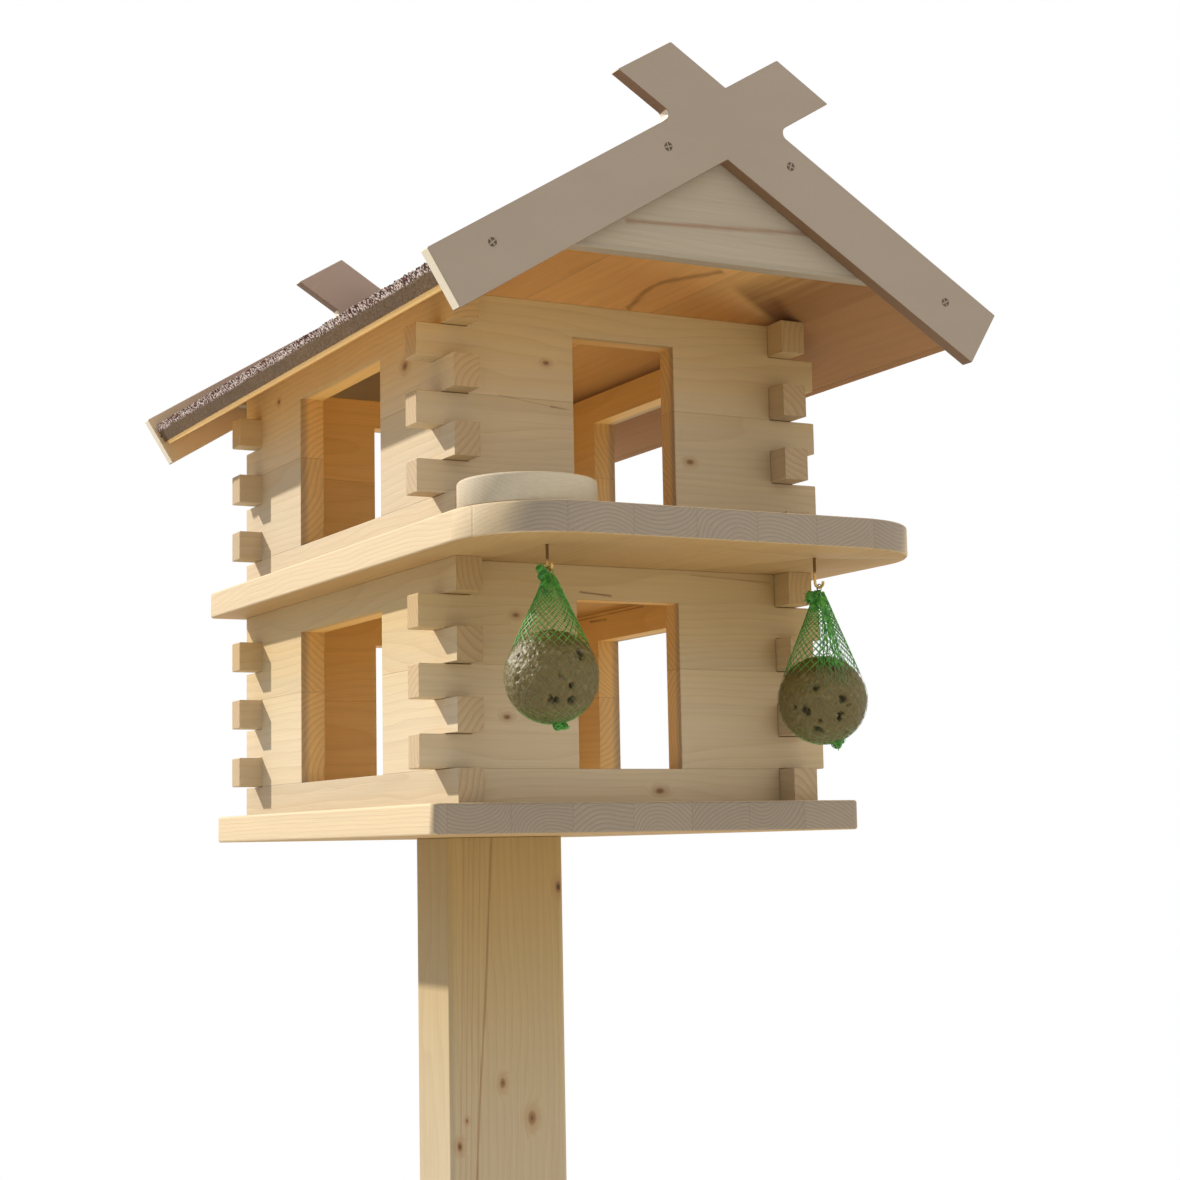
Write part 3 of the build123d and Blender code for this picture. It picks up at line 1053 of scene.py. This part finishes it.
@dataclass
class Timber:
    """The wooden pieces of the CAD model."""

    arris: float = 0.0008
    flat_angle: float = 1.0
    edge_angle: float = 35.0

    def dress(self, node: str, finish: Pine | Panel) -> None:
        """Give a CAD piece its finish and soften its edges.

        Args:
            node: name of the piece.
            finish: its finish.
        """
        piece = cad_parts[node]
        piece.data.materials.clear()
        piece.data.materials.append(finish.material(node))
        weld = piece.modifiers.new("weld", "WELD")
        weld.merge_threshold = TOUCH
        flat = piece.modifiers.new("flat", "DECIMATE")
        flat.decimate_type = "DISSOLVE"
        flat.angle_limit = radians(self.flat_angle)
        edge = piece.modifiers.new("arris", "BEVEL")
        edge.width = self.arris
        edge.segments = 2
        edge.limit_method = "ANGLE"
        edge.angle_limit = radians(self.edge_angle)
        edge.harden_normals = True
        edge.use_clamp_overlap = True
        log.info("%s dressed", node)

    def build(self) -> None:
        """Dress all the wood."""
        self.dress("post", POST)
        for index, node in enumerate(("base_plate", "balcony_plate")):
            self.dress(node, self.plate(index))
        walls = (
            ("front", Y, FRONT), ("back", FORWARD, -BACK), ("left", X, -SIDE), ("right", LEFTWARD, -SIDE),
        )
        for index, storey in enumerate(STOREYS):
            for number, (side, inward, outside) in enumerate(walls):
                finish = self.wall(storey, inward, outside, index + 4 * number)
                self.dress(f"{storey}_{side}_wall", finish)
        for side, name in ((-1, "left"), (1, "right")):
            self.dress(f"roof_board_{name}", self.roof(side))
        for node, front in (("front_gable_board", GABLE_FRONT), ("back_gable_board", GABLE_BACK)):
            self.dress(node, self.gable(front))
        self.dress("front_barge_board", Panel())
        # Painted warm bounce light: the back barge board's lower part and its redder tones.
        warm_bounce = Fade(DOWN, -1580.0, -1500.0, (1.55, 1.60, 1.20))
        self.dress("back_barge_board", Panel(face=(172, 148, 130), shade=(160, 134, 114), fades=(warm_bounce,)))
        self.dress("feeding_dish", DISH)

    def plate(self, index: int) -> Pine:
        """Glued plate with its grain from front to back, with painted light where it is a floor or a
        ceiling inside a room and painted shade on its downward faces.

        Args:
            index: 0 for the base plate and 1 for the balcony plate.

        Returns:
            The plate's finish.
        """
        top = STOREYS["lower"][0] - 1.0 if index == 0 else 0.0
        return Pine(
            "plate_pine", Y, X, lamella=43.0, offset=17.0 + index * 9.0, seed=20.0 + index,
            ring=2.5, early=(200, 177, 140), late=(176, 146, 106), end=(152, 136, 116),
            underside_shade_tint=(0.80, 0.67, 0.44), contrast=0.35, seams=0.15, inner=(Z, top, top + 1.0),
            inside=((HOUSE_Y, INNER_DEPTH), (0.0, INNER_SIDE)), inner_bounce_tint=(1.45, 1.45, 1.35),
        )

    def wall(self, storey: str, inward: Triple, outside: float, seed: int) -> Pine:
        """Wall panel with painted warm bounce light golden under the plate or the eaves above it and
        greyer below, painted shade towards the right of the front and back walls, and painted warm
        bounce light inside the room.

        Args:
            storey: lower or upper.
            inward: way into the house.
            outside: distance of the outer face along that way.
            seed: number of the wall.

        Returns:
            The wall's finish.
        """
        floor, top = STOREYS[storey]
        # Painted warm bounce light, golden under the plate or the eaves above.
        fades = (Fade(Z, top - 110.0, top, (0.99, 0.88, 0.61)),)
        grain, room = Y, (HOUSE_Y, INNER_DEPTH)
        if inward in (Y, FORWARD):
            grain, room = X, (0.0, INNER_SIDE)
            # Painted shade, darker towards the right.
            fades += (Fade(X, 10.0, 130.0, (0.90, 0.87, 0.80)),)
        return Pine(
            "wall_pine", grain, Z, lamella=66.0, offset=44.0 - floor, seed=40.0 + seed,
            inner=(inward, outside + 2.0, outside + 8.0), inside=(room, (0.0, NO_LIMIT)),
            early=(196, 176, 142), late=(172, 144, 106), end=(182, 156, 119), fades=fades,
            knots=WALL_KNOTS, marks=WALL_MARKS,
        )

    def roof(self, side: int) -> Pine:
        """Roof board, pale orange for painted warm bounce light on its underside; the right one has a
        curved streak, a patch of painted shade by the front right corner of the wall and painted shade
        on its eave.

        Args:
            side: -1 for the left board and 1 for the right one.

        Returns:
            The board's finish.
        """
        slope = (cos(ROOF_PITCH), 0.0, -side * sin(ROOF_PITCH))
        bend = (
            (72.0, -98.0, 1582.8), (69.6, -113.0, 1584.3), (66.3, -132.1, 1586.3),
            (65.1, -146.0, 1587.0), (65.4, -160.1, 1586.8), (68.6, -180.0, 1584.9),
            (73.3, -206.0, 1582.0), (76.1, -222.7, 1580.3),
        )
        marks = tuple(Mark(start, end, 3.4, 0.55, (122, 70, 30)) for start, end in zip(bend, bend[1:]))
        # A patch of painted shade where the board meets the wall's front right corner.
        marks += (Mark((112.0, -236.0, 1558.4), (121.0, -232.0, 1552.9), 13.0, 0.5, (96, 54, 26)),)
        clear = ((X, SIDE - 2.0), (FORWARD, 2.0 - FRONT))
        # Painted shade on the right eave, beyond the walls.
        eave = Fade(X, 78.0, 116.0, (0.40, 0.31, 0.29), clear)
        # The pale orange tones are painted warm bounce light.
        return Pine(
            "roof_pine", Y, slope, lamella=58.0, seed=60.0 + side, early=(250, 208, 136),
            late=(228, 176, 104), end=(205, 170, 122), contrast=0.25,
            marks=marks if side > 0 else (), fades=(eave,) if side > 0 else (),
        )

    def gable(self, front: float) -> Pine:
        """Gable board with level grain and a dark streak above its lower strip.

        Args:
            front: where its outer face is.

        Returns:
            The board's finish.
        """
        streak = Mark((-66.0, front, 1566.0), (64.0, front, 1572.8), 2.6, 0.75, (136, 100, 74))
        return Pine(
            "gable_pine", X, Z, lamella=300.0, offset=-1550.0, seams=0.0, contrast=0.2,
            seed=80.0 if front == GABLE_FRONT else 81.0, early=(163, 149, 126),
            late=(148, 127, 99), marks=(streak,),
        )


@dataclass
class RoofFelt:
    """The felt on the roof, with loose granules along its edges."""

    density: float = 1100.0
    grain: float = 0.0007
    stray: float = 0.0003
    bare: float = 9.0
    edge_angle: float = 40.0

    def build(self) -> None:
        """Dress the felt and lay the granules."""
        material = Felt().material()
        lump = round_lump("granule", 1)
        for index, node in enumerate(("roof_felt_left", "roof_felt_right", "ridge_felt")):
            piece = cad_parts[node]
            piece.data.materials.clear()
            piece.data.materials.append(material)
            mesh = scattered("granules", lump, self.edge_places(piece.data, random.Random(index + 5)))
            settle(f"granules_{index + 1}", mesh, material, "house")

    def edge_places(self, mesh: Mesh, chance: random.Random) -> list[Matrix]:
        """Choose places along the sharp edges of a piece of felt.

        Args:
            mesh: mesh of the felt.
            chance: source of random numbers.

        Returns:
            Where each granule goes.
        """
        shape = bmesh.new()
        shape.from_mesh(mesh)
        bmesh.ops.remove_doubles(shape, verts=shape.verts, dist=TOUCH)
        bare_top = min(vert.co.z for vert in shape.verts) + self.bare * MM
        sharp = radians(self.edge_angle)
        places = []
        for edge in shape.edges:
            start, end = (vert.co for vert in edge.verts)
            if len(edge.link_faces) != 2 or edge.calc_face_angle() < sharp:
                continue
            if max(start.z, end.z) < bare_top:
                continue
            for _ in range(int(edge.calc_length() * self.density + chance.random())):
                place = start.lerp(end, chance.random())
                away = Vector(chance.gauss(0, self.stray) for _ in range(3))
                size = chance.uniform(0.5, 1.2) * self.grain
                scale = Matrix.Diagonal((size, size * chance.uniform(0.6, 1.0), size * 0.8, 1.0))
                places.append(Matrix.Translation(place + away) @ turned(chance) @ scale)
        shape.free()
        return places


@dataclass
class ScrewHeads:
    """Cross-head screws in the barge boards; lengths in millimetres."""

    places: tuple[Pair, ...] = ((-161.0, 1539.5), (-42.0, 1612.5), (46.0, 1611.5), (162.0, 1536.5))
    fronts: tuple[Pair, ...] = ((-358.0, -1.0), (200.0, 1.0))
    radius: float = 2.7
    arm: float = 0.244
    rim: float = 0.1
    recess: float = 0.9
    skirt: float = 0.6
    lift: float = 0.2

    def build(self) -> None:
        """Set a screw at each place, front and back."""
        head = self.head()
        chance = random.Random(4)
        spots = []
        for level, way in self.fronts:
            facing = Matrix.Rotation(-way * pi / 2, 4, "X")
            for x, z in self.places:
                turn = Matrix.Rotation(chance.uniform(0, pi), 4, "Z")
                spots.append(Matrix.Translation(Vector((x, level, z)) * MM) @ facing @ turn)
        heads = scattered("barge_screws", head, spots)
        settle("barge_screws", heads, ScrewSteel().material(), "house")

    def head(self) -> Mesh:
        """Make one flat head with a cross cut into it.

        Returns:
            The head, facing up, with its top a hair above zero.
        """
        shape = bmesh.new()
        bmesh.ops.create_grid(shape, x_segments=8, y_segments=8, size=self.radius * 0.7 * MM)
        centres = [(face, face.calc_center_median()) for face in shape.faces]
        arms = [face for face, at in centres if min(abs(at.x), abs(at.y)) < self.arm * MM]
        bmesh.ops.inset_region(
            shape, faces=shape.faces[:], thickness=self.rim * MM, use_even_offset=False
        )
        for vert in [vert for vert in shape.verts if vert.is_boundary]:
            vert.co = vert.co.normalized() * self.radius * MM
        deep = bmesh.ops.extrude_face_region(shape, geom=arms)
        self.lower(shape, deep, self.recess)
        bmesh.ops.delete(shape, geom=arms, context="FACES_ONLY")
        border = [edge for edge in shape.edges if edge.is_boundary]
        self.lower(shape, bmesh.ops.extrude_edge_only(shape, edges=border), self.skirt)
        bmesh.ops.translate(shape, verts=shape.verts, vec=(0, 0, self.lift * MM))
        bmesh.ops.recalc_face_normals(shape, faces=shape.faces)
        return baked("screw_head", shape)

    def lower(self, shape: BMesh, result: dict[str, list], depth: float) -> None:
        """Move down what an operator has made."""
        moved = [item for item in result["geom"] if isinstance(item, BMVert)]
        bmesh.ops.translate(shape, verts=moved, vec=(0, 0, -depth * MM))


@dataclass
class HangingBall:
    """A screw hook with a fat ball in a net hanging on it; lengths in millimetres.

    Pits are directions from the ball's middle. A tuft is a place about the middle and a radius.
    """

    side: str
    shank: Pair
    drop: float
    turn: float
    hang: float
    tail_side: float
    seed: int
    pits: tuple[Triple, ...]
    tufts: tuple[Linear, ...]
    gathers: int = 0
    under: float = STOREYS["lower"][1]
    wire: float = 0.9
    bend: float = 3.1
    sweep: float = 200.0
    bend_steps: int = 22
    thread: float = 0.72
    pitch: float = 1.7
    net: float = 28.7
    tip: float = 3.0
    tail: float = 28.3
    count: int = 24
    slant: float = 0.90
    strand: float = 0.25
    cone_steps: int = 16
    bowl_steps: int = 40
    ties: int = 48
    seeds: int = 36

    def __post_init__(self) -> None:
        """Find the ball that the CAD model has there."""
        self.chance = random.Random(self.seed)
        self.body = f"{self.side}_ball"
        low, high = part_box(f"fat_ball_{self.side}")
        self.middle = (low + high) / 2
        self.radius = (high.z - low.z) / 2

    def build(self) -> None:
        """Build the hook, the ball and its net."""
        self.hook()
        self.ball()
        self.bag()

    def hook(self) -> None:
        """Bend the wire and wind its thread."""
        centre = self.bend - self.drop
        path = [Vector((0, 0, 9.0)), Vector((0, 0, centre))]
        for step in range(1, self.bend_steps + 1):
            angle = radians(self.sweep * step / self.bend_steps)
            across, down = self.bend * cos(angle), self.bend * sin(angle)
            path.append(Vector((self.bend - across, 0, centre - down)))
        wire = strands("wire", [path], self.wire, sides=3)
        bottom = -min(self.drop - self.bend - 2.0, 9.0)
        winding = [
            polar(self.thread, step / 10 * tau, 1.0 - step / 10 * self.pitch)
            for step in range(int((1.0 - bottom) / self.pitch * 10))
        ]
        thread = strands("thread", [winding], 0.42, sides=1)
        mesh = joined(f"screw_hook_{self.side}", [wire, thread])
        mesh.transform(
            Matrix.Translation(Vector((*self.shank, self.under)) * MM)
            @ Matrix.Rotation(radians(self.turn), 4, "Z")
            @ Matrix.Scale(MM, 4)
        )
        brass = Brass().material(self.under - 10.0)
        piece = settle(f"screw_hook_{self.side}", mesh, brass, "house")
        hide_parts(f"hook_{self.side}")

    def ball(self) -> None:
        """Press the ball, with holes and seeds in its skin."""
        shape = bmesh.new()
        bmesh.ops.create_icosphere(shape, subdivisions=6, radius=1.0)
        pits = [Vector(place).normalized() for place in self.pits]
        for vert in shape.verts:
            way = vert.co.normalized()
            vert.co = way * min(self.skin(way, pits), 1.004)
        skin = baked("skin", shape)
        places = [self.seed_place() for _ in range(self.seeds)]
        seeds = scattered("seeds", round_lump("seed", 2), places)
        mesh = joined(f"pressed_ball_{self.side}", [skin, seeds])
        mesh.transform(Matrix.Translation(self.middle) @ Matrix.Scale(self.radius, 4))
        material = FatAndSeed().material(self.middle / MM, self.radius / MM)
        piece = settle(f"pressed_ball_{self.side}", mesh, material, self.body)
        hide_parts(f"fat_ball_{self.side}")

    def skin(self, way: Vector, pits: list[Vector]) -> float:
        """Height of the ball's skin, with lumps, crumbs and pits.

        Args:
            way: direction from the middle.
            pits: directions of the pits that the photo shows.

        Returns:
            The height as a share of the radius.
        """
        offset = Vector((self.seed * 3.1, 0, 0))
        pit = max(0.0, 1.0 - noise.voronoi(way * 2.1 + offset)[0][0] / 0.19)
        for place in pits:
            away = (way - place).length + 0.05 * noise.noise(way * 12.0)
            pit = max(pit, 1.0 - away / 0.14)
        nearest = noise.voronoi(way * 9.0 + offset)[0]
        crumb = min(1.0, (nearest[1] - nearest[0]) * 4.0)
        lumps = 0.012 * noise.noise(way * 4.0 + offset) + 0.030 * noise.noise(way * 11.0 + offset)
        rough = 0.014 * noise.noise(way * 26.0 + offset)
        return 0.990 + lumps + rough - 0.016 * (1 - crumb) - 0.13 * pit**0.6

    def seed_place(self) -> Matrix:
        """Lay one seed into the skin of a ball of radius 1.

        Returns:
            Where the seed goes.
        """
        chance = self.chance
        way = any_way(chance)
        long = chance.uniform(0.07, 0.13)
        scale = Matrix.Diagonal((long, long * chance.uniform(0.4, 0.6), 0.03, 1.0))
        spin = Matrix.Rotation(chance.uniform(0, tau), 4, "Z")
        lie = way.to_track_quat("Z", "Y").to_matrix().to_4x4()
        return Matrix.Translation(way * 0.960) @ lie @ spin @ scale

    def profile(self, tip_z: float) -> list[Pair]:
        """Outline of the net from its tip down to its lower pole.

        Args:
            tip_z: height of the tip over the ball's middle.

        Returns:
            Radius and height of each point.
        """
        reach = hypot(tip_z, self.tip)
        touch = acos(self.net / reach) + atan2(self.tip, tip_z)
        start = Vector((self.tip, tip_z))
        end = Vector((self.net * sin(touch), self.net * cos(touch)))
        points = [tuple(start.lerp(end, step / self.cone_steps)) for step in range(self.cone_steps)]
        for step in range(self.bowl_steps + 1):
            angle = touch + (pi - 0.04 - touch) * step / self.bowl_steps
            points.append((self.net * sin(angle), self.net * cos(angle)))
        return points

    def bag(self) -> None:
        """Knit the net, with its loops over the hook, its knots and its tied end."""
        ring_z = self.hang + 29.0
        tip_z = ring_z - 2.65
        outline = self.profile(tip_z)
        swell = [1.0 if step < 15 else 0.36 for step in range(len(outline))]
        parts = [strands("mesh", self.knit(outline), self.strand, swell=swell), self.loops(ring_z)]
        parts += [self.tuft(Vector((x, y, z)), radius) for x, y, z, radius in self.tufts]
        knot = Vector(self.tufts[0][:3])
        parts.append(strands("ties", [self.tie(knot, tip_z) for _ in range(self.ties)], 0.28))
        if self.gathers:
            paths = [self.gather(outline) for _ in range(self.gathers)]
            parts.append(strands("gathers", paths, 0.3))
        whole = joined(f"knitted_net_{self.side}", parts)
        whole.transform(Matrix.Translation(self.middle) @ Matrix.Scale(MM, 4))
        green = NetPlastic().material(self.middle / MM, self.radius / MM)
        piece = settle(f"knitted_net_{self.side}", whole, green, self.body)
        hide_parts(f"ball_net_{self.side}")

    def knit(self, outline: list[Pair]) -> list[list[Vector]]:
        """Lead strands round the net both ways, its lower pole leant to where it is tied.

        Args:
            outline: radius and height of the net.

        Returns:
            Points of each strand.
        """
        lean = atan2(self.tail_side, sqrt(self.tail**2 - self.tail_side**2))
        paths = []
        for way in (-1, 1):
            for index in range(self.count):
                angle = tau * index / self.count
                path = []
                for (r0, z0), (r1, z1) in zip(outline, outline[1:] + outline[-1:]):
                    share = min(1.0, max(0.0, -z0 / self.net))
                    tilt = Matrix.Rotation(-lean * share, 3, "Y")
                    path.append(tilt @ polar(r0, angle, z0))
                    angle += way * self.slant * hypot(r1 - r0, z1 - z0) / max(r0, 9.0)
                paths.append(path)
        return paths

    def tie(self, knot: Vector, tip_z: float) -> list[Vector]:
        """Lead one strand from the net's cone over its mouth into the knot.

        Args:
            knot: middle of the knot.
            tip_z: height of the tip over the ball's middle.

        Returns:
            Points of the strand.
        """
        draw = self.chance.uniform
        drop = draw(3.0, 14.0)
        angle = self.chance.gauss(pi + 0.3, 0.9)
        wide = self.tip + drop * 0.33
        return [
            polar(wide, angle, tip_z - drop),
            polar(0.7 * wide, angle, tip_z - drop * 0.45) - Vector((0.6, 0, 0)),
            Vector((draw(-3.2, 0.2), draw(-1.6, 1.6), tip_z + draw(-1.0, 1.4))),
            knot + Vector((draw(-1.5, 1.5), draw(-1.5, 1.5), draw(-2, 2))),
        ]

    def gather(self, outline: list[Pair]) -> list[Vector]:
        """Lead one gathered strand down the front of the net's cone.

        Args:
            outline: radius and height of the net.

        Returns:
            Points of the strand.
        """
        angle = self.chance.gauss(-1.85, 0.28)
        points = []
        for radius, height in outline[1:20]:
            angle += self.chance.gauss(0, 0.05)
            points.append(polar(radius * 0.96, angle, height))
        return points

    def loops(self, ring_z: float) -> Mesh:
        """Make the strands that lie over the hook.

        Args:
            ring_z: height of the loop's middle over the ball's middle.

        Returns:
            The loops.
        """
        upright = Matrix.Rotation(pi / 2, 3, "Y")
        face = Matrix.Rotation(radians(self.turn), 3, "Z") @ upright
        middle = Vector((0, 0, ring_z))
        paths = []
        for step in range(4):
            shift = (step - 1.5) * 0.16
            radius = 2.4 + 0.12 * (-1) ** step
            paths.append([middle + face @ polar(radius, a / 24 * tau, shift) for a in range(24)])
        return strands("loops", paths, 0.22, closed=True)

    def tuft(self, middle: Vector, radius: float) -> Mesh:
        """Wind a knot of strands with loose ends.

        Args:
            middle: middle of the knot.
            radius: radius of the knot, which also says how many windings it has.

        Returns:
            The knot.
        """
        count = int(radius * 9)
        windings = []
        for _ in range(count):
            turn = turned(self.chance).to_3x3()
            size = radius * self.chance.uniform(0.45, 1.0)
            lift = self.chance.uniform(-0.5, 0.5) * radius
            wide = sqrt(max(0.1, size**2 - lift**2))
            ring = [middle + turn @ polar(wide, step / 14 * tau, lift) for step in range(14)]
            windings.append(ring)
        ends = []
        for _ in range(count // 2):
            way, bent = (turned(self.chance).to_3x3() @ Vector(X) for _ in range(2))
            steps = ((0.5, 0.0), (1.0, 0.5), (1.12, 1.2))
            ends.append([middle + way * radius * out + bent * off for out, off in steps])
        knot = strands("windings", windings, 0.3, closed=True)
        return joined("tuft", [knot, strands("ends", ends, 0.24)])


LEFT_PITS = ((0.30, -0.83, 0.47), (-0.34, -0.75, -0.57), (0.07, -0.80, -0.59))
LEFT_TUFTS = (
    (-6.0, 0.8, 65.0, 2.7), (-4.4, 0.4, 60.6, 3.3), (-4.2, -0.8, 55.0, 2.9),
    (3.8, 0.0, -29.2, 3.2), (8.2, 0.0, -29.8, 2.3),
)
RIGHT_TUFTS = ((-5.6, 0.5, 65.6, 4.8), (-4.6, -0.6, 59.2, 3.0), (9.5, -1.0, -27.0, 4.5))
RIGHT_PITS = (
    (-0.10, -0.99, -0.04), (-0.82, -0.49, -0.31), (-0.48, -0.46, -0.74), (-0.13, -0.88, -0.46),
)


def main() -> None:
    """Build the studio and dress the whole feeder."""
    logging.basicConfig(level=logging.INFO, format="%(message)s")
    Studio().build()
    Timber().build()
    RoofFelt().build()
    ScrewHeads().build()
    HangingBall(
        "left", shank=(-100.0, -300.9), drop=16.0, turn=-90.0, hang=35.0, tail_side=5.0, seed=7,
        pits=LEFT_PITS, tufts=LEFT_TUFTS,
    ).build()
    HangingBall(
        "right", shank=(90.9, -304.0), drop=19.0, turn=0.0, hang=43.0, tail_side=10.0, seed=8,
        pits=RIGHT_PITS, tufts=RIGHT_TUFTS, gathers=22,
    ).build()


if __name__ == "__main__":
    main()
